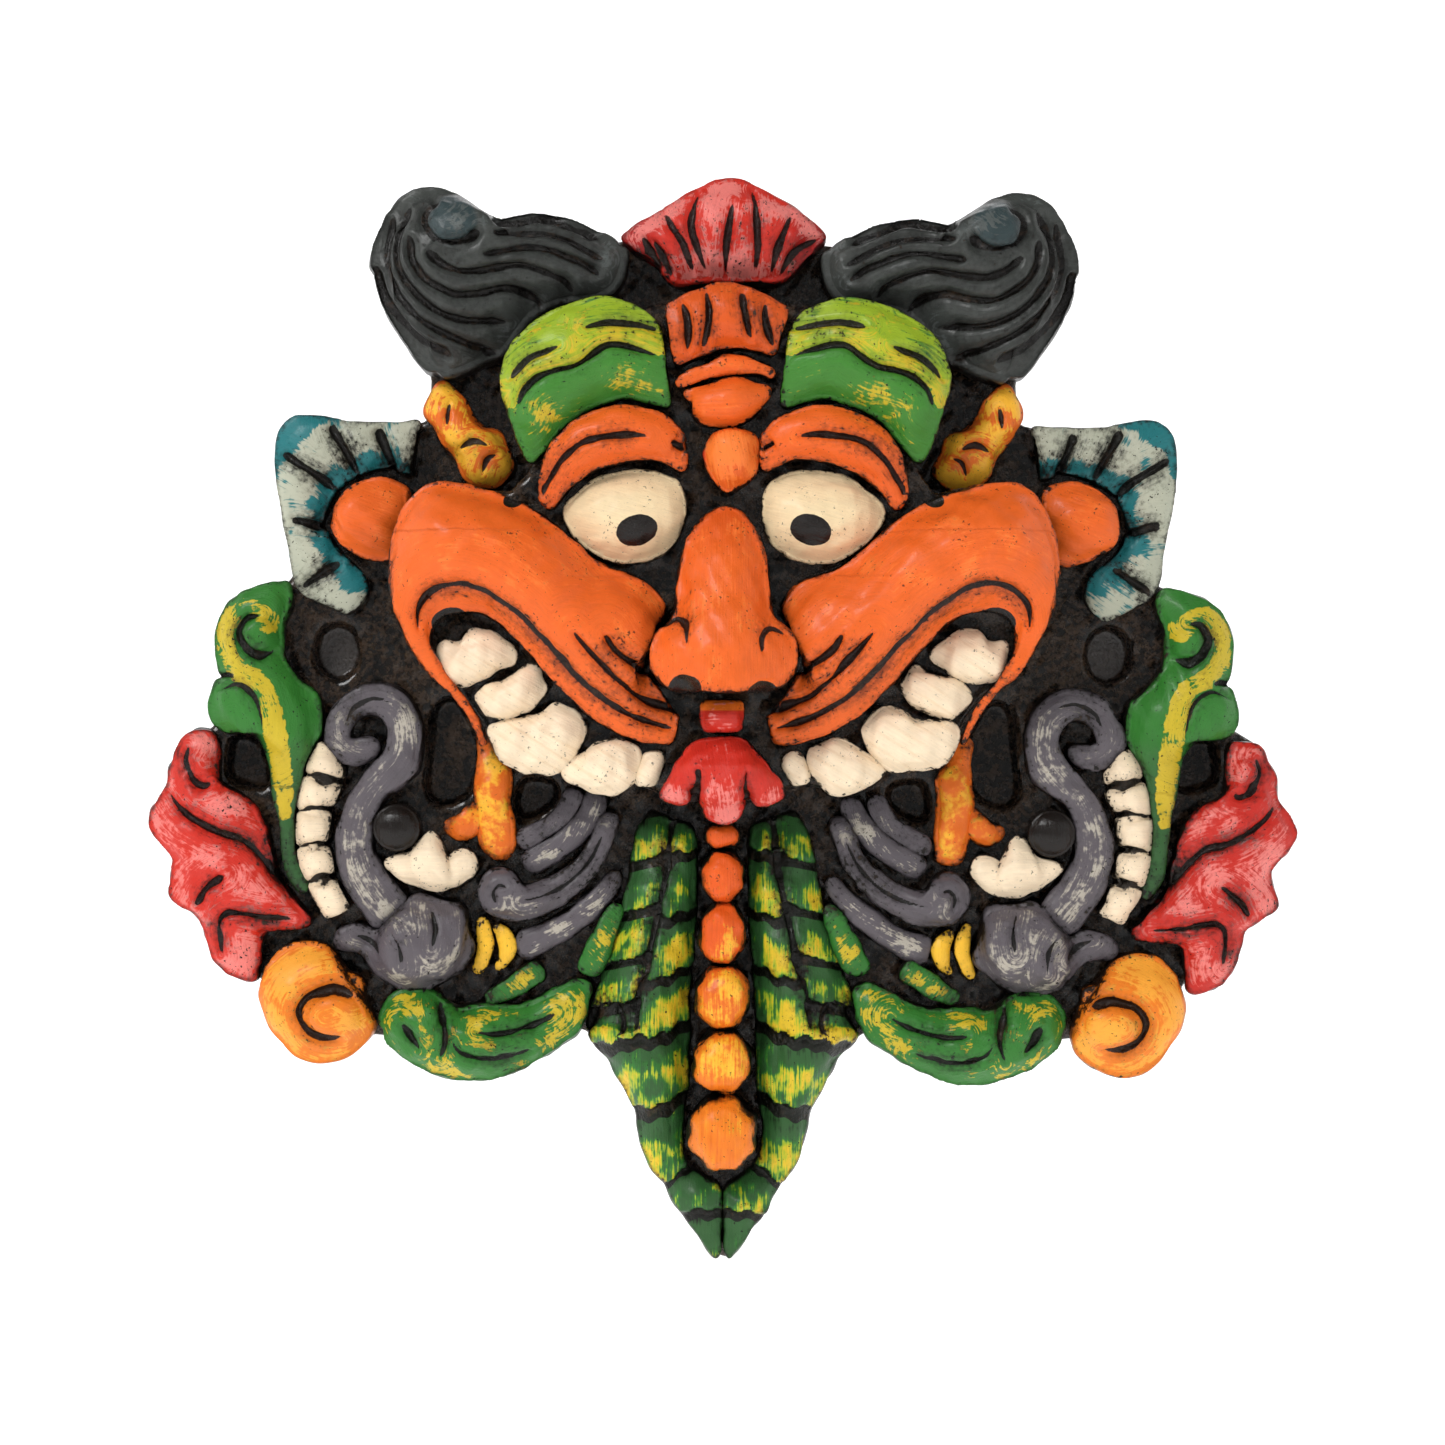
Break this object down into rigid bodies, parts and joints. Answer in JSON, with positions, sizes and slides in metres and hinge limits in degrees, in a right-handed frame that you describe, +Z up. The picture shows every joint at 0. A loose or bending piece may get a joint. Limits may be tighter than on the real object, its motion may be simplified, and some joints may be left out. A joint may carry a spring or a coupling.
{
  "type": "carved wall mask",
  "caption": "Wall mask: a monster face with elephant-headed side beasts, leaves and a scaly tail, carved in painted relief on a flat back panel with a swinging hanging ring.",
  "frame": {"origin": "middle of the flat back face", "axes": "+Z up, +X to the right as seen from the front, +Y out of the back, so the face looks along -Y"},
  "size_m": [0.2868, 0.0564, 0.2699],
  "materials": {
    "dark_ground": "brown-black stain under semi-gloss varnish",
    "charcoal_paint": "charcoal paint with black grooves, semi-gloss varnish",
    "red_paint": "red paint dry-brushed with pink, semi-gloss varnish",
    "orange_paint": "orange paint with black grooves, semi-gloss varnish",
    "teal_paint": "teal paint dry-brushed with cream, semi-gloss varnish",
    "black_paint": "glossy black paint",
    "bead_paint": "orange and yellow paint, semi-gloss varnish",
    "bare_wood": "bare turned hardwood",
    "brass": "lacquered brass, slightly tarnished",
    "brow_green_paint": "green paint blended to yellow, semi-gloss varnish",
    "eye_paint": "cream paint with black pupils, semi-gloss varnish",
    "ivory_paint": "ivory paint, semi-gloss varnish",
    "flame_paint": "orange paint blended to yellow, semi-gloss varnish",
    "leaf_green_paint": "green paint dry-brushed with yellow, semi-gloss varnish",
    "grey_paint": "elephant grey paint dry-brushed with white, semi-gloss varnish",
    "scale_green_paint": "dark green paint with yellow scale edges, semi-gloss varnish"
  },
  "bodies": {
    "mask": {"back_panel": "dark_ground", "face_core": "dark_ground", "crest": "red_paint", "forehead_top": "orange_paint", "forehead_ridges": "orange_paint", "jewel": "orange_paint", "nose": "orange_paint", "upper_lip": "red_paint", "tongue": "red_paint", "beast_eyes": "black_paint", "tail_beads": "bead_paint", "dowels": "bare_wood", "hanger_strap": "brass", "hanger_screws": "brass", "hair_left": "charcoal_paint", "hair_right": "charcoal_paint", "brow_left": "brow_green_paint", "brow_right": "brow_green_paint", "eyelid_left": "orange_paint", "eyelid_right": "orange_paint", "eye_left": "eye_paint", "eye_right": "eye_paint", "cheek_left": "orange_paint", "cheek_right": "orange_paint", "teeth_left": "ivory_paint", "teeth_right": "ivory_paint", "ear_left": "orange_paint", "ear_right": "orange_paint", "ear_fan_left": "teal_paint", "ear_fan_right": "teal_paint", "flame_left": "flame_paint", "flame_right": "flame_paint", "leaf_green_left": "leaf_green_paint", "leaf_green_right": "leaf_green_paint", "leaf_red_left": "red_paint", "leaf_red_right": "red_paint", "scroll_orange_left": "flame_paint", "scroll_orange_right": "flame_paint", "scroll_green_left": "leaf_green_paint", "scroll_green_right": "leaf_green_paint", "filler_leaves_left": "leaf_green_paint", "filler_leaves_right": "leaf_green_paint", "trunk_left": "grey_paint", "trunk_right": "grey_paint", "beast_head_left": "grey_paint", "beast_head_right": "grey_paint", "ivory_left": "ivory_paint", "ivory_right": "ivory_paint", "lower_jaw_left": "grey_paint", "lower_jaw_right": "grey_paint", "gums_left": "grey_paint", "gums_right": "grey_paint", "collar_left": "flame_paint", "collar_right": "flame_paint", "mouth_flame_left": "flame_paint", "mouth_flame_right": "flame_paint", "tail_left": "scale_green_paint", "tail_right": "scale_green_paint"},
    "ring": {"hanger_ring": "brass"}
  },
  "joints": [
    {"name": "ring_swing", "type": "hinge", "parent": "mask", "child": "ring", "pos_m": [0, -0.00278, 0.084], "axis": [1, 0, 0], "range_deg": [0, 180]}
  ]
}
